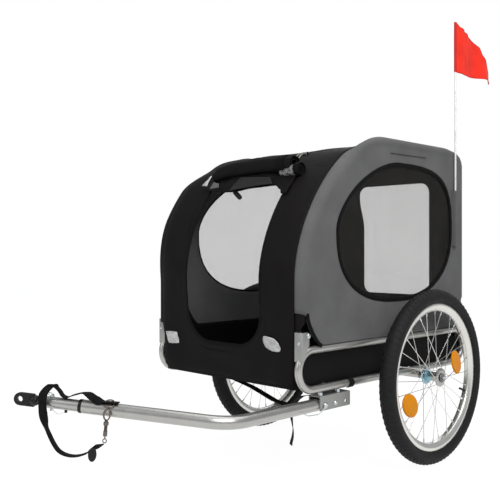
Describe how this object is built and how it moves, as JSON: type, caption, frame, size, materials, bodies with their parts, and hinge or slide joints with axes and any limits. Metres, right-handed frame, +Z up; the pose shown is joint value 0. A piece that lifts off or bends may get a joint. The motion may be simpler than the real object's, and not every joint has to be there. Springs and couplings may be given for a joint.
{
  "type": "folding bicycle trailer",
  "caption": "Two-wheeled bicycle trailer with a folding tube frame, fabric pet cabin with mesh windows, rolled-up front door, side drawbar with hitch coupler, safety strap and flag",
  "frame": {"origin": "on the ground under the middle of the trailer's box, flag and drawbar included", "axes": "+X forward to the hitch, +Y to the trailer's left (the drawbar's side), +Z up"},
  "size_m": [1.4894, 0.7406, 1.328],
  "materials": {
    "silver_tube": "satin silver",
    "grey_plate": "satin grey",
    "zinc": "zinc plated",
    "black_cloth": "woven, matt",
    "grey_cloth": "woven, matt",
    "mesh_cloth": "open mesh",
    "tyre_rubber": "matt rubber",
    "rim_alloy": "polished",
    "orange_lens": "clear orange",
    "black_plastic": "moulded",
    "webbing": "woven webbing",
    "white_rod": "glass-fibre rod",
    "red_cloth": "thin nylon",
    "board": "plain board"
  },
  "bodies": {
    "trailer": {"axle_beam": "silver_tube", "channel_bolt_front": "zinc", "channel_bolt_rear": "zinc", "door_roll": "black_cloth", "drawbar_pivot_bolt": "zinc", "drawbar_tube": "silver_tube", "floor_board": "board", "floor_tub": "black_cloth", "front_bracket_left": "grey_plate", "front_bracket_right": "grey_plate", "front_cross_tube": "silver_tube", "front_panel": "black_cloth", "front_pivot_rivet_left": "zinc", "front_pivot_rivet_right": "zinc", "hitch_channel": "grey_plate", "rear_bracket_left": "grey_plate", "rear_bracket_right": "grey_plate", "rear_cross_tube": "silver_tube", "rear_mesh": "mesh_cloth", "rear_panel": "black_cloth", "rear_pivot_rivet_left": "zinc", "rear_pivot_rivet_right": "zinc", "roof_panel": "black_cloth", "safety_strap": "webbing", "side_frame_left": "silver_tube", "side_frame_right": "silver_tube", "side_panel_left": "grey_cloth", "side_panel_right": "grey_cloth", "snap_hook": "zinc", "strap_buckle": "black_plastic", "strap_ring": "zinc", "strap_tag": "black_plastic", "strap_tail": "webbing", "underfloor_strap": "webbing", "window_mesh_left": "mesh_cloth", "window_mesh_right": "mesh_cloth"},
    "front_hoop": {"front_hoop": "silver_tube"},
    "rear_hoop": {"rear_hoop": "silver_tube", "flag_sleeve": "black_cloth"},
    "flag": {"flag_pole": "white_rod", "flag": "red_cloth"},
    "lock_pin": {"drawbar_lock_pin": "zinc"},
    "hitch_end": {"hitch_end_tube": "silver_tube"},
    "coupler": {"hitch_coupler": "black_plastic"},
    "hitch_pin": {"hitch_pin": "zinc"},
    "hook_bolt": {"snap_hook_bolt": "zinc"},
    "axle_left": {"axle_left": "zinc"},
    "wheel_left": {"tyre_left": "tyre_rubber", "rim_left": "rim_alloy", "spoked_hub_left": "zinc", "front_reflector_left": "orange_lens", "rear_reflector_left": "orange_lens"},
    "release_left": {"release_button_left": "zinc"},
    "axle_right": {"axle_right": "zinc"},
    "wheel_right": {"tyre_right": "tyre_rubber", "rim_right": "rim_alloy", "spoked_hub_right": "zinc", "front_reflector_right": "orange_lens", "rear_reflector_right": "orange_lens"},
    "release_right": {"release_button_right": "zinc"}
  },
  "joints": [
    {"name": "front_hoop_fold", "type": "hinge", "parent": "trailer", "child": "front_hoop", "pos_m": [0.18466, 0, 0.401], "axis": [0, -1, 0], "range_deg": [0, 60], "deforming": ["side_panel_left", "side_panel_right", "window_mesh_left", "window_mesh_right", "front_panel", "roof_panel", "rear_panel", "rear_mesh", "door_roll"]},
    {"name": "rear_hoop_fold", "type": "hinge", "parent": "trailer", "child": "rear_hoop", "pos_m": [-0.56034, 0, 0.401], "axis": [0, 1, 0], "range_deg": [0, 69.5]},
    {"name": "flag_pole_pull", "type": "slide", "parent": "rear_hoop", "child": "flag", "axis": [0, 0, 1], "range_m": [0, 0.16]},
    {"name": "lock_pin_pull", "type": "slide", "parent": "trailer", "child": "lock_pin", "axis": [0, 1, 0], "range_m": [0, 0.055]},
    {"name": "hitch_swivel", "type": "hinge", "parent": "trailer", "child": "hitch_end", "pos_m": [0.63955, -0.01653, 0.25145], "axis": [0.6049, -0.7911, 0.0906], "range_deg": [-45, 45]},
    {"name": "coupler_yaw", "type": "hinge", "parent": "hitch_end", "child": "coupler", "pos_m": [0.71092, -0.10988, 0.26214], "axis": [-0.055, 0.072, 0.9959], "range_deg": [-20, 20]},
    {"name": "hitch_pin_pull", "type": "slide", "parent": "hitch_end", "child": "hitch_pin", "axis": [-0.055, 0.072, 0.9959], "range_m": [0, 0.04], "deforming": ["safety_strap"]},
    {"name": "hook_bolt_slide", "type": "slide", "parent": "trailer", "child": "hook_bolt", "axis": [0.055, -0.072, -0.9959], "range_m": [0, 0.006], "stiffness_N_per_m": 300, "springref_m": -0.003},
    {"name": "axle_left_pull", "type": "slide", "parent": "trailer", "child": "axle_left", "axis": [0, 1, 0], "range_m": [0, 0.075]},
    {"name": "wheel_left_spin", "type": "hinge", "parent": "axle_left", "child": "wheel_left", "pos_m": [-0.30234, 0.335, 0.25], "axis": [0, 1, 0], "continuous": true},
    {"name": "release_left_press", "type": "slide", "parent": "axle_left", "child": "release_left", "axis": [0, -1, 0], "range_m": [0, 0.004], "stiffness_N_per_m": 600, "springref_m": -0.002},
    {"name": "axle_right_pull", "type": "slide", "parent": "trailer", "child": "axle_right", "axis": [0, -1, 0], "range_m": [0, 0.075]},
    {"name": "wheel_right_spin", "type": "hinge", "parent": "axle_right", "child": "wheel_right", "pos_m": [-0.30234, -0.335, 0.25], "axis": [0, 1, 0], "continuous": true},
    {"name": "release_right_press", "type": "slide", "parent": "axle_right", "child": "release_right", "axis": [0, 1, 0], "range_m": [0, 0.004], "stiffness_N_per_m": 600, "springref_m": -0.002}
  ],
  "couplings": [
    {"joint": "rear_hoop_fold", "follows": "front_hoop_fold", "ratio": 1.15}
  ]
}
